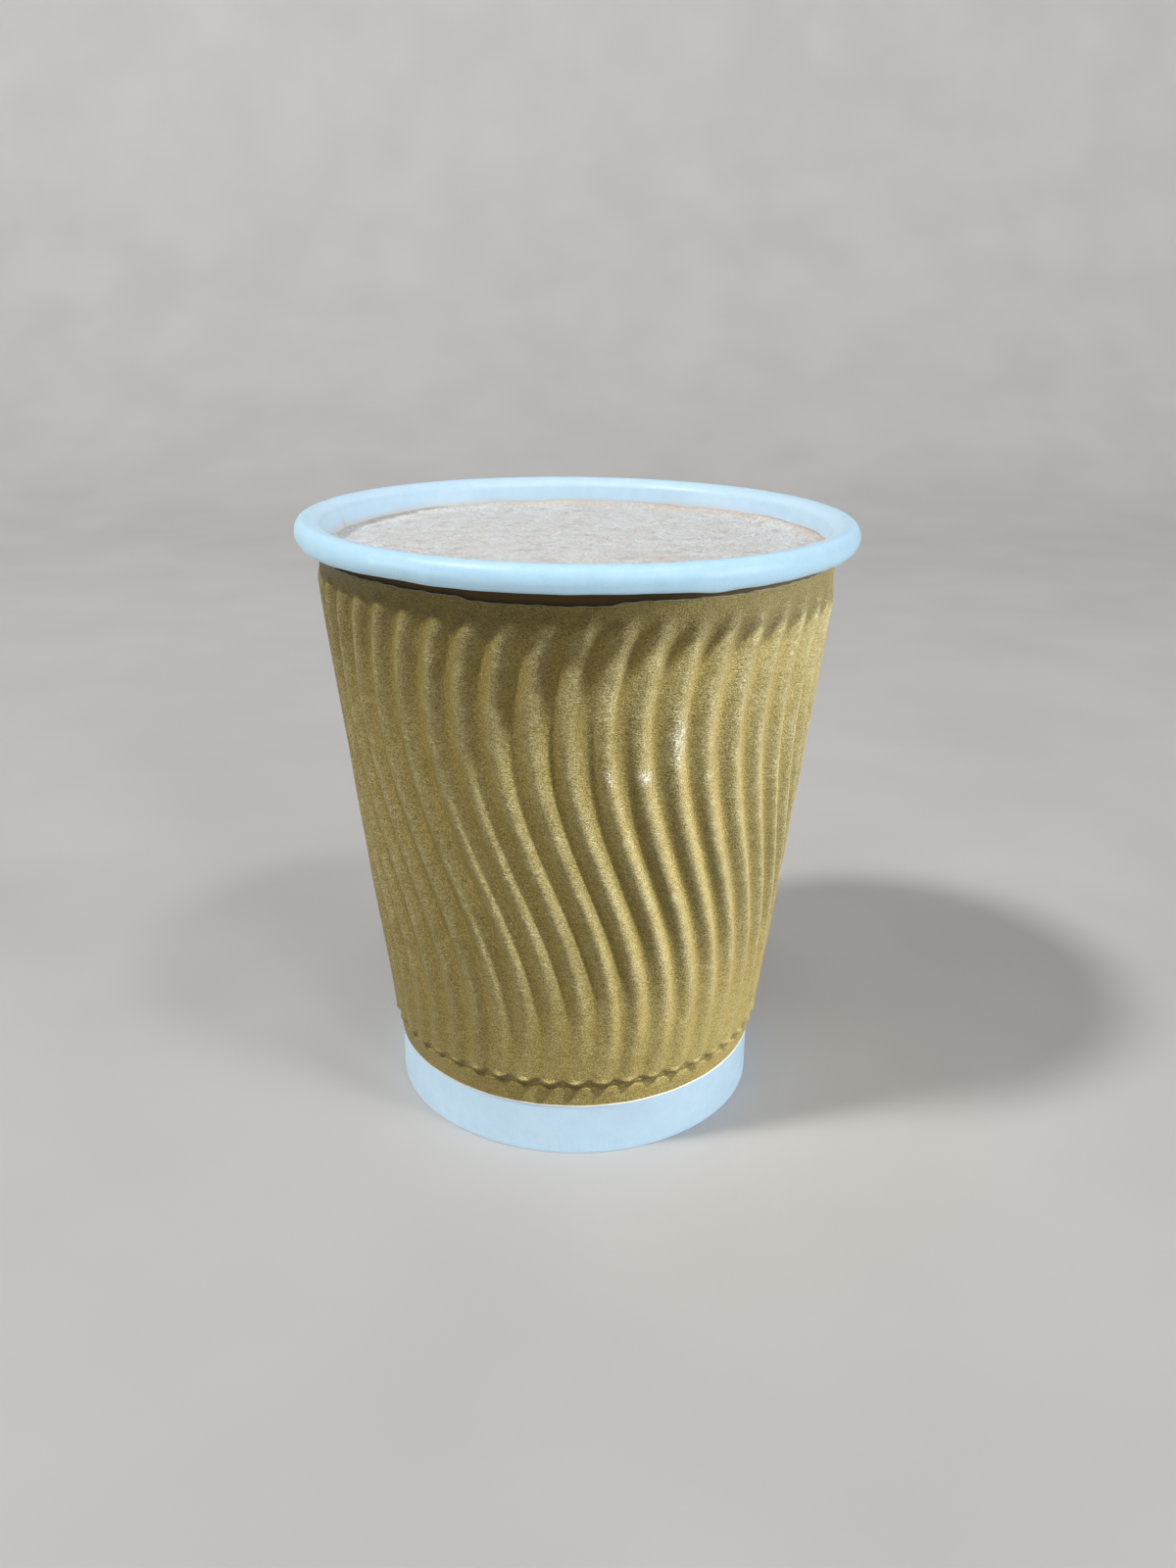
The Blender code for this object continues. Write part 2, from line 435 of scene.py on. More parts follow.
def ring_faces(rows, columns, closed=True):
    """Quads of a grid that closes round its columns and, if asked, over its rows."""
    faces = []
    for row in range(rows if closed else rows - 1):
        here, below = row * columns, (row + 1) % rows * columns
        for column in range(columns):
            beside = (column + 1) % columns
            faces.append((here + column, below + column, below + beside, here + beside))
    return faces


def dress(piece, node):
    """Leans a piece with the whole cup, puts it under the cup's root and hides the node it
    replaces.
    """
    shear = Matrix.Identity(4)
    shear[0][2] = LEAN
    shear[0][3] = -LEAN * LEAN_ABOUT * MM
    piece.data.transform(shear)
    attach(piece, "root")
    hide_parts(node)
    return piece


# ---- Materials


class Shading:
    """A Principled material and the nodes that feed it."""

    def __init__(self, name, **sockets):
        self.material = bpy.data.materials.new(name)
        self.material.use_nodes = True
        self.tree = self.material.node_tree
        self.shader = self.tree.nodes["Principled BSDF"]
        for key, value in sockets.items():
            self.shader.inputs[key.replace("_", " ")].default_value = value

    def add(self, kind, inputs=(), out=0, **settings):
        node = self.tree.nodes.new("ShaderNode" + kind)
        for key, value in settings.items():
            setattr(node, key, value)
        for key, value in dict(inputs).items():
            self.put(node.inputs[key], value)
        return node.outputs[out]

    def put(self, socket, value):
        if isinstance(value, bpy.types.NodeSocket):
            self.tree.links.new(value, socket)
        else:
            socket.default_value = value

    def place(self, stretch=(1, 1, 1)):
        """Object coordinates in millimetres, stretched."""
        spot = self.add("TexCoord", out="Object")
        return self.add("Mapping", {"Vector": spot, "Scale": [s / MM for s in stretch]})

    def noise(self, scale, detail=2.0, stretch=(1, 1, 1), rough=0.5, warp=0.0):
        """Cloudy noise about 0.5. Its scale is in features a millimetre."""
        return self.add(
            "TexNoise",
            {
                "Vector": self.place(stretch),
                "Scale": scale,
                "Detail": detail,
                "Roughness": rough,
                "Distortion": warp,
            },
        )

    def remap(self, value, low, high, to_low=0.0, to_high=1.0):
        """Stretches low to high over to_low to to_high, and stops at both ends."""
        return self.add(
            "MapRange",
            {
                "Value": value,
                "From Min": low,
                "From Max": high,
                "To Min": to_low,
                "To Max": to_high,
            },
        )

    def math(self, operation, first, second=0.0):
        return self.add("Math", {0: first, 1: second}, operation=operation)

    def mix(self, share, first, second):
        """Blends two colours, from the first at 0 to the second at 1."""
        node = self.tree.nodes.new("ShaderNodeMix")
        node.data_type = "RGBA"
        for index, value in ((0, share), (6, first), (7, second)):
            self.put(node.inputs[index], value)
        return node.outputs[2]

    def threads(self, value, width):
        """Thin curly lines, 1 along the middle, where a noise crosses its mean."""
        away = self.math("ABSOLUTE", self.math("SUBTRACT", value, 0.5))
        return self.remap(away, 0.0, width, 1.0, 0.0)

    def attribute(self, name):
        """The numbers that make_object stored at the points under this name."""
        return self.add("Attribute", out="Fac", attribute_name=name)

    def bump(self, height, distance, normal=None):
        """Relief of a height from 0 to 1, raised by a distance in millimetres."""
        inputs = {"Height": height, "Distance": distance * MM, "Strength": 1.0}
        if normal is not None:
            inputs["Normal"] = normal
        return self.add("Bump", inputs)

    def finish(self, **links):
        """Feeds the shader's sockets, named with _ for a space, and gives the material."""
        for key, value in links.items():
            self.put(self.shader.inputs[key.replace("_", " ")], value)
        return self.material


def rgb(red, green, blue):
    return (red, green, blue, 1.0)


def white_paper():
    """Coated board: cool white, faintly mottled, with a satin skin."""
    # Rim and wall are one paper; the rim's bluer, darker tone is painted shade for the stronger
    # light it gets
    rim_shaded_tones = rgb(0.465, 0.735, 0.92), rgb(0.515, 0.78, 0.96)
    wall_tones = rgb(0.55, 0.755, 0.92), rgb(0.60, 0.80, 0.96)
    fleck, milk_stain = rgb(0.62, 0.83, 0.96), rgb(0.68, 0.62, 0.56)

    look = Shading("coated_white_paper", IOR=1.45)
    mottle = look.noise(0.45, 3.0)
    grain = look.noise(3.2, 3.0)
    rim = look.mix(look.remap(mottle, 0.3, 0.7), *rim_shaded_tones)
    wall = look.mix(look.remap(mottle, 0.3, 0.7), *wall_tones)
    tone = look.mix(look.attribute("wall"), rim, wall)
    tone = look.mix(look.remap(grain, 0.35, 0.75, 0.0, 0.35), tone, fleck)
    tone = look.mix(look.attribute("stain"), tone, milk_stain)
    rough = look.remap(grain, 0.3, 0.7, 0.34, 0.46)
    relief = look.bump(grain, 0.012, look.bump(mottle, 0.10))
    return look.finish(Base_Color=tone, Roughness=rough, Normal=relief)


def gold_card():
    """Pearly gold ink on fibrous board: curly level fibres, scuffs, and a pale gloss.
    The ink is painted paler on the ribs' crests and browner in their valleys: painted highlight and
    shade."""
    # Each pair runs from valley to crest: browner in the valleys as painted shade, paler on the
    # crests as painted highlight
    deep_tones = rgb(0.126, 0.083, 0.013), rgb(0.122, 0.088, 0.024)
    bright_tones = rgb(0.51, 0.390, 0.105), rgb(0.52, 0.425, 0.165)
    bare_fibre, scuffed, cracked = (
        rgb(0.72, 0.64, 0.37), rgb(0.80, 0.78, 0.68), rgb(0.06, 0.042, 0.014)
    )
    upward = (1, 1, 1.6)

    look = Shading("gold_ripple_card", IOR=1.6, Specular_Tint=rgb(1.0, 0.95, 0.60))
    crest_light = look.attribute("crest_light")
    patchy = look.remap(look.noise(0.45, 2.0), 0.42, 0.6, 0.1, 1.0)
    thread = look.threads(look.noise(0.9, 1.0, upward, 0.5, 2.2), 0.065)
    thread = look.math("MULTIPLY", thread, patchy)
    fuzz = look.threads(look.noise(2.4, 1.0, upward, 0.5, 1.0), 0.10)
    grain = look.noise(4.8, 1.0, (1, 1, 1.4), 0.5)
    spark = look.remap(look.noise(3.0, 1.0, (1, 1, 1.4)), 0.67, 0.76, 0.0, 0.5)
    level = look.noise(0.9, 3.0, (0.5, 0.5, 5.0), 0.6, 0.4)
    cloud = look.noise(0.16, 3.0)

    shade = look.remap(cloud, 0.3, 0.7, 0.15, 0.24)
    shade = look.math("ADD", shade, look.remap(level, 0.3, 0.7, -0.07, 0.07))
    shade = look.math("ADD", shade, look.remap(grain, 0.34, 0.66, -0.27, 0.27))
    shade = look.math("ADD", shade, look.math("MULTIPLY", fuzz, 0.22))
    tone = look.mix(
        look.remap(shade, 0.0, 1.0), look.mix(crest_light, *deep_tones), look.mix(crest_light, *bright_tones)
    )
    pale = look.math("MAXIMUM", look.math("MULTIPLY", thread, 0.6), spark)
    # Pale fibres and specks are made stronger on the crests: painted highlight
    pale = look.math("MULTIPLY", pale, look.remap(crest_light, 0.0, 1.0, 0.15, 0.75))
    tone = look.mix(pale, tone, bare_fibre)
    scuff = look.math("MULTIPLY", look.attribute("scuff"), look.remap(thread, 0.05, 0.5, 0.05))
    tone = look.mix(scuff, tone, scuffed)
    tone = look.mix(look.attribute("crack"), tone, cracked)

    rough = look.remap(shade, 0.1, 0.7, 0.50, 0.34)
    relief = look.bump(level, 0.05)
    relief = look.bump(look.math("ADD", thread, fuzz), 0.035, relief)
    relief = look.bump(grain, 0.06, relief)
    return look.finish(Base_Color=tone, Roughness=rough, Normal=relief)


def bare_board(name, dark, light, fibre_scale, stretch_up, roughness):
    """Unprinted board with level fibres."""
    look = Shading(name, IOR=1.45)
    fibre = look.noise(fibre_scale, 3.0, (1, 1, stretch_up))
    tone = look.mix(fibre, dark, light)
    return look.finish(Base_Color=tone, Roughness=look.remap(fibre, 0.3, 0.7, *roughness))


def cut_card():
    """The sleeve's cut edge, which is pale."""
    dark, light = rgb(0.74, 0.68, 0.50), rgb(0.88, 0.84, 0.68)
    return bare_board("cut_board_edge", dark, light, 2.2, 2.0, (0.75, 0.9))


def shadow_lip_card():
    """Dark brown board inside the sleeve, seen only as a line below the rim: painted shade."""
    dark, light = rgb(0.07, 0.040, 0.012), rgb(0.12, 0.075, 0.025)
    return bare_board("painted_shadow_lip_board", dark, light, 1.4, 3.0, (0.8, 0.95))


def milk_froth():
    """Dense foam: pale where it stands up, browner at the wall, darker in the hollows as painted
    shade.
    """
    patch_tones = rgb(0.73, 0.70, 0.67), rgb(0.79, 0.815, 0.83)
    light, dark, open_cell = rgb(0.96, 0.98, 0.98), rgb(0.55, 0.50, 0.455), rgb(0.52, 0.475, 0.43)
    pit, coffee = rgb(0.40, 0.35, 0.32), rgb(0.71, 0.61, 0.53)

    look = Shading("milk_froth", IOR=1.34)
    fine = look.noise(2.2, 4.0, rough=0.7, warp=0.4)
    patch = look.noise(0.3, 3.0, warp=0.4)
    film = look.threads(look.noise(1.0, 2.0, rough=0.6, warp=1.2), 0.05)
    cell = look.remap(look.noise(1.5, 2.0), 0.38, 0.29, 0.0, 0.7)

    tone = look.mix(look.remap(patch, 0.35, 0.65), *patch_tones)
    tone = look.mix(look.remap(fine, 0.51, 0.62, 0.0, 0.8), tone, light)
    tone = look.mix(look.remap(fine, 0.47, 0.36, 0.0, 0.8), tone, dark)
    tone = look.mix(cell, tone, open_cell)
    tone = look.mix(look.math("MULTIPLY", film, 0.6), tone, light)
    # Darker where the froth lies low: painted shade
    tone = look.mix(look.attribute("hollow"), tone, pit)
    tone = look.mix(look.attribute("brown"), tone, coffee)

    rough = look.remap(fine, 0.3, 0.7, 0.35, 0.6)
    relief = look.bump(fine, 0.12, look.bump(look.math("SUBTRACT", film, cell), 0.08))
    return look.finish(Base_Color=tone, Roughness=rough, Normal=relief)


def pale_floor():
    """Matt pale grey, faintly clouded."""
    look = Shading("pale_floor", Roughness=0.6)
    cloud = look.noise(0.02, 2.0)
    tone = look.mix(look.remap(cloud, 0.3, 0.7), rgb(0.51, 0.50, 0.49), rgb(0.55, 0.54, 0.53))
    return look.finish(Base_Color=tone)


# ---- Cup


def crest_radius(height):
    """Radius of the cone that the ribs' crests lie on."""
    return CREST_AT_FLOOR + CREST_SLOPE * height


def wall_outer(height):
    """Radius of the paper wall's outer side, a gap inside the sleeve."""
    return crest_radius(height) - BACK_BELOW_CREST - GAP


def wall_inner(height):
    return wall_outer(height) - PAPER


def on_wall_outer(height):
    return wall_outer(height), height


def on_wall_inner(height):
    return wall_inner(height), height


def arc(center, size, first, last):
    """Points of a section along part of a circle, from and to an angle in degrees."""
    turn = np.radians(np.linspace(first, last, EASE_POINTS))
    return [(center[0] + size * math.cos(t), center[1] + size * math.sin(t)) for t in turn]


def line(start, end, points):
    """Points from start to end, the end left out."""
    return [
        tuple(np.array(start) + (np.array(end) - np.array(start)) * i / points)
        for i in range(points)
    ]


def bead_outline():
    """The rolled rim's section, from the inner side over the top and tucked under."""
    crest = RIM_RADIUS - BEAD_SIDE
    middle = CUP_HEIGHT - BEAD_HALF_TALL
    curl_low = CUP_HEIGHT - CURL_TALL
    curl_wide = crest - wall_inner(curl_low)
    points = []
    for i in range(CURL_ROWS):
        turn = math.pi / 2 * i / CURL_ROWS
        points.append((crest - curl_wide * math.cos(turn), curl_low + CURL_TALL * math.sin(turn)))
    for turn in np.linspace(math.pi / 2, BEAD_TUCK, BEAD_OUTER_ROWS):
        points.append(
            (crest + BEAD_SIDE * math.cos(turn), middle + BEAD_HALF_TALL * math.sin(turn))
        )
    return points


def cup_outline():
    """The wall's section as a closed loop, down the outer side and up the inner."""
    base_inner = BASE_RADIUS - PAPER
    leg_outer = base_inner - 2 * GAP - PAPER
    leg_inner = leg_outer - PAPER
    bead = bead_outline()
    foot_top = (BASE_RADIUS_AT_SLEEVE - TUCK_INSET, SLEEVE_LOW + TUCK_UP)
    foot_edge = (BASE_RADIUS - FOOT_EASE, FOOT_EASE)
    leg_edge = (leg_inner + FOLD_EASE, FOLD_EASE)

    points = list(bead)
    points += line(on_wall_outer(bead[-1][1]), on_wall_outer(WALL_FROM), 2)
    points += line(on_wall_outer(WALL_FROM), foot_top, 1)
    points += line(foot_top, (BASE_RADIUS, FOOT_EASE), FOOT_ROWS)
    points += arc(foot_edge, FOOT_EASE, 0, -90)
    points += arc(leg_edge, FOLD_EASE, -90, -180)
    points += [(leg_inner, FOLD_HEIGHT), (leg_outer, FOLD_HEIGHT)]
    points += [(leg_outer, SLOT_FLOOR), (base_inner, SLOT_FLOOR)]
    points += [(base_inner, BOTTOM_HIGH[2] + GAP)]
    points += line(on_wall_inner(INNER_WALL_FROM), on_wall_inner(INNER_FINE_FROM), 1)
    points += line(on_wall_inner(INNER_FINE_FROM), bead[0], INNER_FINE_ROWS)
    return np.array(points)


def seam_share(angle):
    """1 on the lap of the cup's side seam, 0 elsewhere, with one sharp edge."""
    away = turn_between(angle, RIM_SEAM)
    sharp = smooth((away + RIM_SEAM_EDGE) / (2 * RIM_SEAM_EDGE))
    return sharp * (1 - smooth((away - RIM_SEAM_LAP * RIM_SEAM_FLAT) / RIM_SEAM_LAP))


def film_share(angle, height):
    """How far the wall is stained just above the froth, and up its seam."""
    edge = FROTH_LEVEL + FROTH_RISE
    reach = STAIN_REACH + wobble(angle, *STAIN_CURVE)
    band = 1 - smooth((height - edge - STAIN_FLAT) / reach)
    away = np.abs(turn_between(angle, SPIKE_AT)) * RIM_RADIUS
    spike = 1 - smooth((height - edge) / SPIKE_TALL)
    spike = spike * (1 - smooth(away / (SPIKE_THIN + SPIKE_ADDED_WIDE * spike)))
    share = np.clip(STAIN_STRENGTH * band + SPIKE_STRENGTH * spike, 0, 1)
    return share * (height > edge - STAIN_LOWEST)


def cup():
    """The paper wall, from the rolled rim down to the folded foot."""
    outline = cup_outline()
    radius, angle, height = turned_grid(outline, CUP_COLUMNS)
    rows = len(outline)

    on_bead = np.zeros((rows, 1))
    on_bead[: CURL_ROWS + BEAD_OUTER_ROWS] = 1
    bead_center = RIM_RADIUS - BEAD_SIDE
    bead_low = CUP_HEIGHT - 2 * BEAD_HALF_TALL
    upper = smooth((height - bead_low) / (2 * BEAD_HALF_TALL))
    sag = wobble(angle, *RIM_SAG_CURVE)
    for middle, width, drop in RIM_SAGS:
        away = np.degrees(turn_between(angle, math.radians(middle)))
        sag = sag + drop * np.exp(-((away / width) ** 2))
    height = height - on_bead * (1 - upper) * sag
    pinch = 1 + wobble(angle, *RIM_PINCH_CURVE)
    radius = radius - on_bead * RIM_PINCH * pinch * (radius > bead_center)

    fine_inside = (np.arange(rows) >= rows - INNER_FINE_ROWS)[:, None]
    inside = fine_inside | ((radius < bead_center) & (on_bead > 0))
    lap = seam_share(angle)
    near_seam = smooth(1 - np.abs(turn_between(angle, RIM_SEAM)) / RIM_SEAM_DROP_WIDE)
    radius = radius - inside * RIM_SEAM_STEP * lap
    height = height - on_bead * RIM_SEAM_DROP * (1 - lap) * (upper > 0.5) * near_seam

    outside_foot = (height < SLEEVE_LOW) & (radius > BASE_RADIUS - FOOT_SKIN)
    fading = smooth((height - KNURL_FULL_TO) / (KNURL_TOP - KNURL_FULL_TO))
    knurl_zone = smooth(height / KNURL_FULL_FROM) * (1 - fading)
    knurl_share = smooth(0.5 + wobble(angle, *KNURL_WEAR_CURVE))
    groove = 0.5 - 0.5 * np.cos(KNURLS * angle)
    radius = radius - outside_foot * knurl_zone * knurl_share * KNURL_DEPTH * groove
    radius = radius + outside_foot * wobble(angle, *FOOT_CURVE)

    stain = film_share(angle, height) * inside
    # Where the rim's painted shade gives way to the wall's tone
    inward = smooth((bead_center - radius) / RIM_TONE_WIDE) * (upper > 0.5)
    wall = np.where(on_bead > 0, inward, 1.0)
    points = round_points(radius, angle, height)
    attributes = [("stain", stain), ("wall", wall)]
    piece = make_object("Cup", points, ring_faces(rows, CUP_COLUMNS), white_paper(), attributes)
    piece.data.set_sharp_from_angle(angle=SMOOTH_BELOW_PAPER)
    return dress(piece, "cup_wall")


def bottom_outline():
    """The bottom's section, from its middle out over the top and back underneath."""
    skirt_outer = BASE_RADIUS - PAPER - GAP
    skirt_inner = skirt_outer - PAPER
    top, under = BOTTOM_HIGH[2], BOTTOM_HIGH[2] - BOTTOM_THICK
    panel = under + PANEL_DEPTH
    outer_edge = (skirt_outer - BOTTOM_OUTER_EASE, top - BOTTOM_OUTER_EASE)
    inner_edge = (skirt_inner - BOTTOM_INNER_EASE, under - BOTTOM_INNER_EASE)

    outline = [(radius, top) for radius in BOTTOM_RADII]
    outline += arc(outer_edge, BOTTOM_OUTER_EASE, 90, 0)
    outline += [(skirt_outer, BOTTOM_LOW[2]), (skirt_inner, BOTTOM_LOW[2])]
    outline += arc(inner_edge, BOTTOM_INNER_EASE, 0, 90)
    outline += [(PANEL_RADIUS, under), (PANEL_RADIUS - PANEL_SLOPE, panel)]
    outline += [(radius, panel) for radius in reversed(BOTTOM_RADII[:2])]
    return np.array(outline)


def cup_bottom():
    """The raised disc with its skirt, pressed a little hollow."""
    outline = bottom_outline()
    points = round_points(*turned_grid(outline, BOTTOM_COLUMNS)).reshape(-1, 3)
    last = len(points) - BOTTOM_COLUMNS
    faces = ring_faces(len(outline), BOTTOM_COLUMNS, closed=False)
    centers = [(0.0, 0.0, outline[0][1]), (0.0, 0.0, outline[-1][1])]
    points = np.vstack([points, centers])
    for i in range(BOTTOM_COLUMNS):
        beside = (i + 1) % BOTTOM_COLUMNS
        faces.append((len(points) - 2, i, beside))
        faces.append((last + beside, last + i, len(points) - 1))
    attributes = [("stain", np.zeros(len(points))), ("wall", np.ones(len(points)))]
    piece = make_object("Cup_bottom", points, faces, white_paper(), attributes)
    piece.data.set_sharp_from_angle(angle=SMOOTH_BELOW_PAPER)
    return dress(piece, "cup_bottom")


# ---- Sleeve


def swing(height):
    """How far round the cup a rib's crest has swung at this height."""
    phase = math.pi * (SWING_LEFTMOST - height) / SWING_HALF_WAVE
    return SWING_MIDDLE - SWING_REACH * np.cos(phase)


def sleeve_heights():
    """Rows from the top edge down, close together where the ribs end."""
    top = np.arange(SLEEVE_HIGH, RIB_HIGH - RIB_TOP_END, -TOP_ROW_STEP)
    bottom = np.arange(RIB_LOW + LOW_ROWS_ABOVE, RIB_LOW - LOW_ROWS_BELOW, -LOW_ROW_STEP)
    middle = np.linspace(top[-1], bottom[0], SLEEVE_MIDDLE_ROWS)[1:-1]
    return np.concatenate([top, middle, bottom, LOW_BAND_ROWS])


def rounding(radius, side):
    """How far a round end has drawn back at this distance from its middle line."""
    return radius - np.sqrt(np.clip(radius**2 - side**2, 0, None))


def rib_fullness(height, side, rightward):
    """0 beyond a rib's rounded ends, 1 along its length. side is the distance from
    its crest line, round the cup. On the right the upper ends are drawn out."""
    tip, nose = rounding(RIB_TIP, side), rounding(RIB_NOSE, side)
    top_end = RIB_TOP_END * (RIB_TOP_DRAWN + RIB_TOP_DRAWN_RIGHT * rightward)
    from_top = (RIB_HIGH - height - RIB_TIP_BEND * tip) / top_end
    from_bottom = (height - RIB_LOW - RIB_NOSE_BEND * nose) / RIB_LOW_END
    return smooth(from_top) * np.sqrt(1 - (1 - np.clip(from_bottom, 0, 1)) ** 2)


def marks(angle, height, spots):
    """1 in the middle of each mark, fading to 0 at its reach."""
    share = np.zeros_like(height)
    for middle, level, across, tall in spots:
        aside = turn_between(angle, math.radians(middle)) * crest_radius(level) / across
        share = np.maximum(share, np.exp(-(aside**2) - ((height - level) / tall) ** 2))
    return share


def ribbed_surface(angle, height):
    """Radius of the sleeve's outer side, each rib's sway, and its share of painted crest light, 1
    on full crests.
    """
    rib = np.floor(RIB_COUNT * angle / TAU + 0.5).astype(int) % RIB_COUNT
    phase = (RIB_COUNT * angle + math.pi) % TAU - math.pi
    pitch = TAU * crest_radius(height) / RIB_COUNT
    side = np.abs(phase) / TAU * pitch
    rightward = np.sin(rib * TAU / RIB_COUNT)

    rng = np.random.default_rng(RIB_SEED)
    from_foot = (height - RIB_LOW) / (RIB_FULL_FROM - RIB_LOW)
    fade = RIB_DEPTH_LOW + (1 - RIB_DEPTH_LOW) * smooth(from_foot)
    deeper = smooth((height - RIB_DEEPER_FROM) / (RIB_DEEPER_TO - RIB_DEEPER_FROM))
    full_depth = RIB_DEPTH * (1 + RIB_DEEPENING * (1 - rightward) * deeper)
    depth = full_depth * rng.uniform(*RIB_DEPTH_SPREAD, RIB_COUNT)[rib]
    sway = np.radians(rng.uniform(-RIB_SWAY, RIB_SWAY, RIB_COUNT))[rib] * np.cos(phase / 2) ** 2
    section = (0.5 + 0.5 * np.cos(phase)) ** RIB_POWER
    crest = crest_radius(height)
    band = crest - BAND_BELOW_CREST
    ribbed = crest - full_depth + depth * (fade * section + RIB_LOW_OUT * (1 - fade))
    full = rib_fullness(height, side, rightward)
    radius = band + full * (ribbed - band)

    above = (height - RIB_LOW - NOSE_RISE) / NOSE_TALL
    nose = np.exp(-(above**2) - (side / NOSE_WIDE) ** 2)
    radius = radius + NOSE_BUMP * rng.uniform(*NOSE_BUMP_SPREAD, RIB_COUNT)[rib] * nose
    crease = np.exp(-(((height - RIB_LOW + CREASE_BELOW) / CREASE_TALL) ** 2))
    radius = radius - CREASE_DEPTH * crease
    radius = radius + wobble(angle, *BULGE_CURVE) * np.sin(height / BULGE_TALL)
    radius = np.maximum(radius, crest - BACK_BELOW_CREST + CARD_LEAST)
    return radius, sway, full * fade * section


def uneven_edges(angle, height):
    """How far the cut edges, and the card just beside them, are moved upwards."""
    edge_top = smooth((height - SLEEVE_HIGH + EDGE_ZONE) / EDGE_ZONE)
    edge_low = 1 - smooth((height - SLEEVE_LOW) / EDGE_ZONE)
    facing = turn_between(angle, 0)
    dip = smooth((facing - TOP_DIP_FROM) / TOP_DIP_EASE)
    dip = dip * (1 - smooth((facing - TOP_DIP_TO) / TOP_DIP_EASE))
    top_wave = TOP_EDGE_RISE - TOP_EDGE_DIP * dip
    top_wave = top_wave + wobble(angle, *TOP_EDGE_CURVE)
    low_wave = wobble(angle, *LOW_EDGE_CURVE) + LOW_EDGE_SIDES * np.sin(angle) ** 2
    low_wave = low_wave + LOW_EDGE_RISE + LOW_EDGE_TILT * np.sin(angle)
    low_wave = low_wave + LOW_EDGE_RIGHT * np.clip(np.sin(angle), 0, 1) ** 2
    return edge_top * top_wave + edge_low * low_wave


def sleeve_inside(column, top_height, low_height):
    """The sleeve's inner side, the lip of painted shade above it, and the foot of the lip."""
    angle, height = np.meshgrid(column, SLEEVE_BACK_LEVELS)
    ends = [SLEEVE_LOW, SLEEVE_HIGH]
    angle = angle + np.interp(height, ends, [swing(end) for end in ends])
    radius = np.maximum(crest_radius(height) - BACK_BELOW_CREST, SLEEVE_BACK_LEAST)
    height[0] = low_height
    inner = round_points(radius, angle, height)[:-1]

    lip_radius = np.stack([radius[-1], radius[-1] + SHADOW_LIP_THICK])
    lip_height = np.full_like(lip_radius, SLEEVE_HIGH + SHADOW_LIP_RISE)
    lip = round_points(lip_radius, np.stack([angle[-1]] * 2), lip_height)
    foot = round_points(lip_radius[1], angle[-1], top_height)[None]
    return np.concatenate([inner, lip, foot])


def sleeve():
    """The gold card with its ribs, its bare cut edges and a dark lip of painted shade under the
    rim.
    """
    columns = RIB_COUNT * RIB_COLUMNS
    heights = sleeve_heights()
    column = angles_round(columns)
    angle, height = np.meshgrid(column, heights)
    # The last share is 1 on the ribs' crests, where the ink is painted paler as painted highlight
    radius, sway, crest_light = ribbed_surface(angle, height)
    turned = angle + swing(height) + sway
    height = height + uneven_edges(turned, height)

    outer = round_points(radius, turned, height)
    points = np.concatenate([outer, sleeve_inside(column, height[0], height[-1])])
    rows, outer_rows = len(points), len(heights)
    scuff, crack = marks(turned, height, SCUFFS), marks(turned, height, CRACKS)
    plain = np.zeros((rows - outer_rows, columns))
    attributes = [
        (key, np.vstack([values, plain]))
        for key, values in (("scuff", scuff), ("crack", crack), ("crest_light", crest_light))
    ]
    piece = make_object("Sleeve", points, ring_faces(rows, columns), gold_card(), attributes)
    for extra in (cut_card(), shadow_lip_card()):
        piece.data.materials.append(extra)

    printed, cut, shadow_lip = 0, 1, 2
    kinds = np.full((rows, columns), printed, np.int32)
    kinds[outer_rows - 2 : outer_rows] = cut
    # The lip's faces take the dark brown board, painted shade for the gap under the rim
    kinds[outer_rows : rows - 1] = shadow_lip
    kinds[rows - 1] = cut
    piece.data.polygons.foreach_set("material_index", kinds.ravel())
    piece.data.set_sharp_from_angle(angle=SMOOTH_BELOW_CARD)
    return dress(piece, "sleeve")


# ---- Drink


def disc_points(cells, radius):
    """A square grid laid onto a disc, ring by ring, so that it stays even."""
    side = np.linspace(-1, 1, cells + 1)
    a, b = np.meshgrid(side, side)
    wide = np.abs(a) > np.abs(b)
    reach = np.where(wide, a, b)
    with np.errstate(divide="ignore", invalid="ignore"):
        turn = np.where(wide, math.pi / 4 * b / a, math.pi / 2 - math.pi / 4 * a / b)
    turn = np.nan_to_num(turn)
    return radius * reach * np.cos(turn), radius * reach * np.sin(turn)


def near_line(x, y, spot):
    """1 on the line between a spot's two ends, fading to 0 past its half width."""
    start, end = np.array(spot[:2]), np.array(spot[2:4])
    along = end - start
    share = np.clip(((x - start[0]) * along[0] + (y - start[1]) * along[1]) / (along @ along), 0, 1)
    away = np.hypot(x - start[0] - share * along[0], y - start[1] - share * along[1])
    return np.exp(-((away / spot[4]) ** 2))


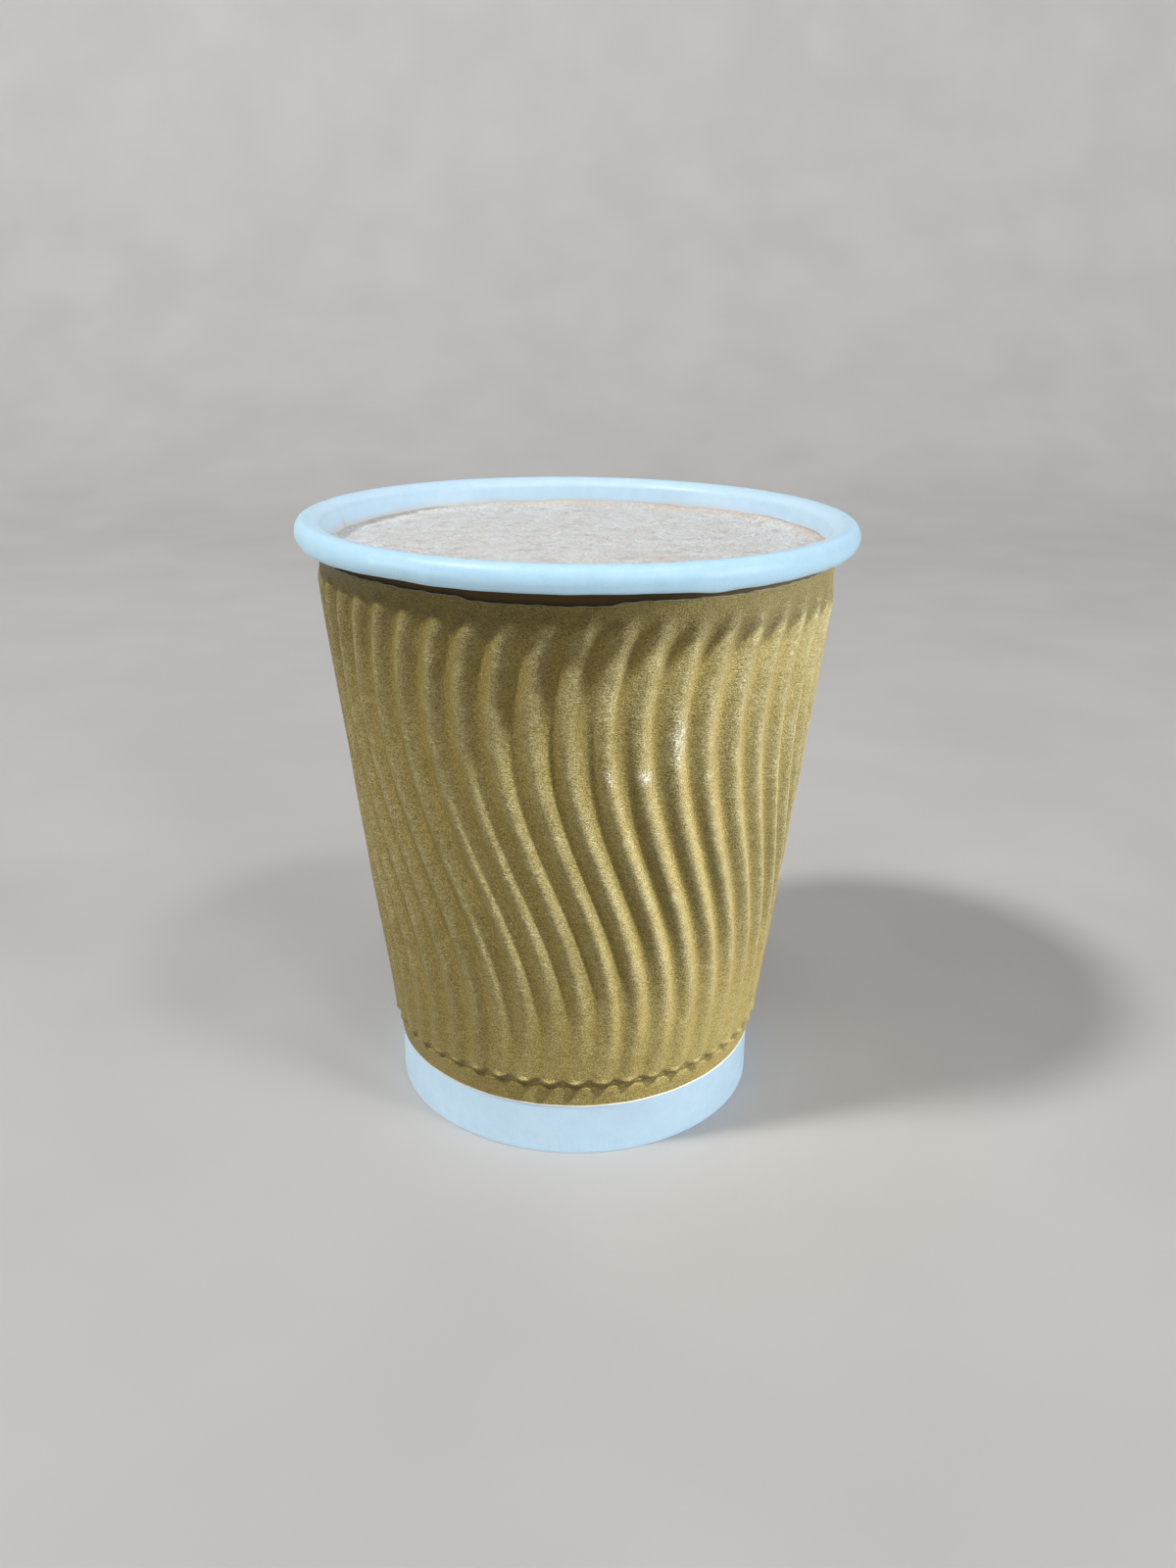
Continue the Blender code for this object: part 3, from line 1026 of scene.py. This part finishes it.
def froth_skin(x, y, angle, to_wall):
    """Height of the froth without its bubbles, and how dark it is painted between lumps as painted
    shade.
    """
    climb = np.clip(1 - to_wall / FROTH_REACH, 0, 1) ** 2
    lean = FROTH_TILT * np.cos(turn_between(angle, FROTH_HIGHEST))
    uneven = lean + wobble(angle, *FROTH_EDGE_CURVE)
    height = FROTH_LEVEL + climb * (FROTH_RISE + uneven)

    calm = 1 - smooth(1 - to_wall / FROTH_CALM)
    dimples, crumbs = field(x, y, *DIMPLE_FIELD), field(x, y, *CRUMB_FIELD)
    lumps = SWELL_TALL * field(x, y, *SWELL_FIELD) + DIMPLE_TALL * dimples
    height = height + calm * (lumps + CRUMB_TALL * crumbs)
    low_spots = smooth(-HOLLOW_FROM - HOLLOW_BY_DIMPLES * dimples - HOLLOW_BY_CRUMBS * crumbs)
    return height, low_spots * HOLLOW_MOST


def add_bubbles(x, y, height, hollow, reach):
    """Whole and popped bubbles, strewn at random within a reach of the middle."""
    rng = np.random.default_rng(BUBBLE_SEED)
    for size_low, size_high, count in BUBBLES:
        for _ in range(count):
            turn, out = rng.uniform(0, TAU), reach * math.sqrt(rng.uniform(0, 1))
            size = rng.uniform(size_low, size_high)
            away = np.hypot(x - out * math.cos(turn), y - out * math.sin(turn)) / size
            near = away < BUBBLE_REACH
            cap = np.sqrt(np.clip(1 - away[near] ** 2, 0, 1))
            moat = np.exp(-(((away[near] - MOAT_AT) / MOAT_WIDE) ** 2))
            popped = rng.uniform() < BUBBLE_POPPED_SHARE
            swell = -BUBBLE_DEPTH * cap if popped else BUBBLE_HEIGHT * cap
            height[near] += size * swell - MOAT_DEPTH * moat
            # Popped bubbles are painted darker inside, as painted shade
            inside = POPPED_HOLLOW if popped else BUBBLE_HOLLOW
            hollow[near] = np.maximum(hollow[near], cap * inside)


def froth_relief(x, y):
    """Height of the froth, how dark its hollows are painted as shade, and how brown it is, all over
    the disc.
    """
    edge_radius = wall_inner(FROTH_LEVEL + FROTH_RISE)
    to_wall = edge_radius - np.hypot(x, y)
    angle = np.arctan2(x, -y)
    height, hollow = froth_skin(x, y, angle, to_wall)
    add_bubbles(x, y, height, hollow, edge_radius - BUBBLE_FROM_WALL)
    for spot_x, spot_y, size in FROTH_PITS:
        cap = np.sqrt(np.clip(1 - np.hypot(x - spot_x, y - spot_y) ** 2 / size**2, 0, 1))
        height = height - PIT_DEPTH * size * cap
        hollow = np.maximum(hollow, PIT_HOLLOW * cap)
    for crease in FROTH_CREASES:
        height = height - FOLD_DEPTH * near_line(x, y, crease)
        hollow = np.maximum(hollow, FOLD_HOLLOW * near_line(x, y, crease))

    stained = 0.5 + 0.5 * np.cos(turn_between(angle, FROTH_BROWNEST))
    spread = BROWN_LEAST_WIDE + BROWN_ADDED_WIDE * stained**2
    spread = spread * (1 + wobble(angle, *BROWN_CURVE))
    brown = smooth(1 - to_wall / spread + BROWN_PATCHY * field(x, y, *BROWN_FIELD))
    brown = (BROWN_LEAST + BROWN_ADDED * stained) * brown
    return height, hollow, np.maximum(brown, STREAK_BROWN * near_line(x, y, FROTH_STREAK))


def froth():
    """The drink: the froth on top, and a plain body below it down to the bottom."""
    edge_radius = wall_inner(FROTH_LEVEL + FROTH_RISE) + FROTH_OVERLAP
    x, y = disc_points(FROTH_CELLS, edge_radius)
    height, hollow, brown = froth_relief(x, y)
    side = FROTH_CELLS + 1
    top = np.stack([x, y, height], axis=-1).reshape(-1, 3)
    faces = []
    for row in range(FROTH_CELLS):
        for column in range(FROTH_CELLS):
            corner = row * side + column
            faces.append((corner, corner + 1, corner + side + 1, corner + side))

    rim = list(range(side)) + [r * side + side - 1 for r in range(1, side)]
    rim += [side * side - 1 - c for c in range(1, side)]
    rim += [r * side for r in range(side - 2, 0, -1)]
    rim_points = top[rim]
    direction = rim_points[:, :2] / np.hypot(rim_points[:, 0], rim_points[:, 1])[:, None]
    foot_radius = wall_inner(INNER_WALL_FROM) - GAP
    foot_low = BOTTOM_HIGH[2] + GAP
    levels = (
        (wall_inner(FROTH_SIDE_FROM) - GAP / 2, FROTH_SIDE_FROM),
        (foot_radius, INNER_WALL_FROM),
        (foot_radius, foot_low),
    )
    points = [top]
    above, count, start = rim, len(rim), len(top)
    for radius, level in levels:
        points.append(np.column_stack([direction * radius, np.full(count, level)]))
        below = list(range(start, start + count))
        for i in range(count):
            beside = (i + 1) % count
            faces.append((above[beside], above[i], below[i], below[beside]))
        above, start = below, start + count
    points.append(np.array([[0.0, 0.0, foot_low]]))
    for i in range(count):
        faces.append((above[(i + 1) % count], above[i], start))
    points = np.vstack(points)

    pad = np.zeros(len(points) - len(top))
    attributes = [
        ("hollow", np.concatenate([hollow.ravel(), pad])),
        ("brown", np.concatenate([brown.ravel(), pad + BROWN_BELOW])),
    ]
    piece = make_object("Froth", points, faces, milk_froth(), attributes)
    return dress(piece, "drink")


# ---- Floor, lights and camera


def stage_floor():
    """A pale floor that sweeps up into a backdrop."""
    bend_from = FLOOR_BACK - FLOOR_BEND
    turn = np.linspace(-math.pi / 2, 0, FLOOR_BEND_POINTS)
    route = [(FLOOR_FRONT, 0.0), (bend_from, 0.0)]
    route += [
        (bend_from + FLOOR_BEND * math.cos(t), FLOOR_BEND + FLOOR_BEND * math.sin(t))
        for t in turn[1:]
    ]
    route.append((FLOOR_BACK, BACKDROP_TOP))
    sides = (-FLOOR_HALF_WIDE, FLOOR_HALF_WIDE)
    points = np.array([(side, y, z) for y, z in route for side in sides])
    faces = [(2 * i, 2 * i + 1, 2 * i + 3, 2 * i + 2) for i in range(len(route) - 1)]
    floor = make_object("Floor", points, faces, pale_floor())
    return floor


def lit_group(name, pieces):
    """A collection that lamps can be limited to."""
    group = bpy.data.collections.new(name)
    for piece in pieces:
        group.objects.link(piece)
    return group


def lamp(lit, name, azimuth, elevation, size, power, color):
    """A round soft light that looks at the cup. Azimuth is measured as round the cup."""
    a, e = math.radians(azimuth), math.radians(elevation)
    out = Vector((math.sin(a) * math.cos(e), -math.cos(a) * math.cos(e), math.sin(e)))
    data = bpy.data.lights.new(name, "AREA")
    data.shape = "DISK"
    data.size = size
    data.energy = power
    data.color = color
    light = bpy.data.objects.new(name, data)
    light.visible_camera = False
    light.light_linking.receiver_collection = lit
    light.location = Vector(LAMPS_AIM) + out * LAMP_DISTANCE
    light.rotation_euler = out.to_track_quat("Z", "Y").to_euler()
    bpy.context.scene.collection.objects.link(light)


def lights(card, others):
    """Steep lamps bring out the ribs of the card. The white paper and the froth would be
    overexposed by them, so they have softer and lower ones."""
    for settings in CARD_LAMPS:
        lamp(card, *settings)
    for settings in OTHER_LAMPS:
        lamp(others, *settings)
    world = bpy.data.worlds.new("Room")
    world.use_nodes = True
    background = world.node_tree.nodes["Background"]
    background.inputs["Color"].default_value = rgb(*ROOM_COLOR)
    background.inputs["Strength"].default_value = ROOM_STRENGTH
    bpy.context.scene.world = world


def camera():
    """The view of the photo, aimed by yaw and pitch and then rolled."""
    pitch, yaw, roll = CAMERA_PITCH, CAMERA_YAW, CAMERA_ROLL
    ahead = Vector(
        (math.sin(yaw) * math.cos(pitch), math.cos(yaw) * math.cos(pitch), -math.sin(pitch))
    )
    level = Vector((math.cos(yaw), -math.sin(yaw), 0))
    upright = level.cross(ahead)
    right = math.cos(roll) * level + math.sin(roll) * upright
    up = math.cos(roll) * upright - math.sin(roll) * level
    data = bpy.data.cameras.new("Camera")
    data.lens = CAMERA_LENS
    data.sensor_width = CAMERA_SENSOR
    data.clip_start = CAMERA_NEAR
    eye = bpy.data.objects.new("Camera", data)
    turn = Matrix((right, up, -ahead)).transposed().to_4x4()
    eye.matrix_world = Matrix.Translation(Vector(CAMERA_AT) * MM) @ turn
    bpy.context.scene.collection.objects.link(eye)
    bpy.context.scene.camera = eye


card = lit_group("card", [sleeve()])
others = lit_group("paper_and_froth", [cup(), cup_bottom(), froth(), stage_floor()])
lights(card, others)
camera()
bpy.context.scene.view_settings.view_transform = "Standard"

bpy.context.view_layer.update()
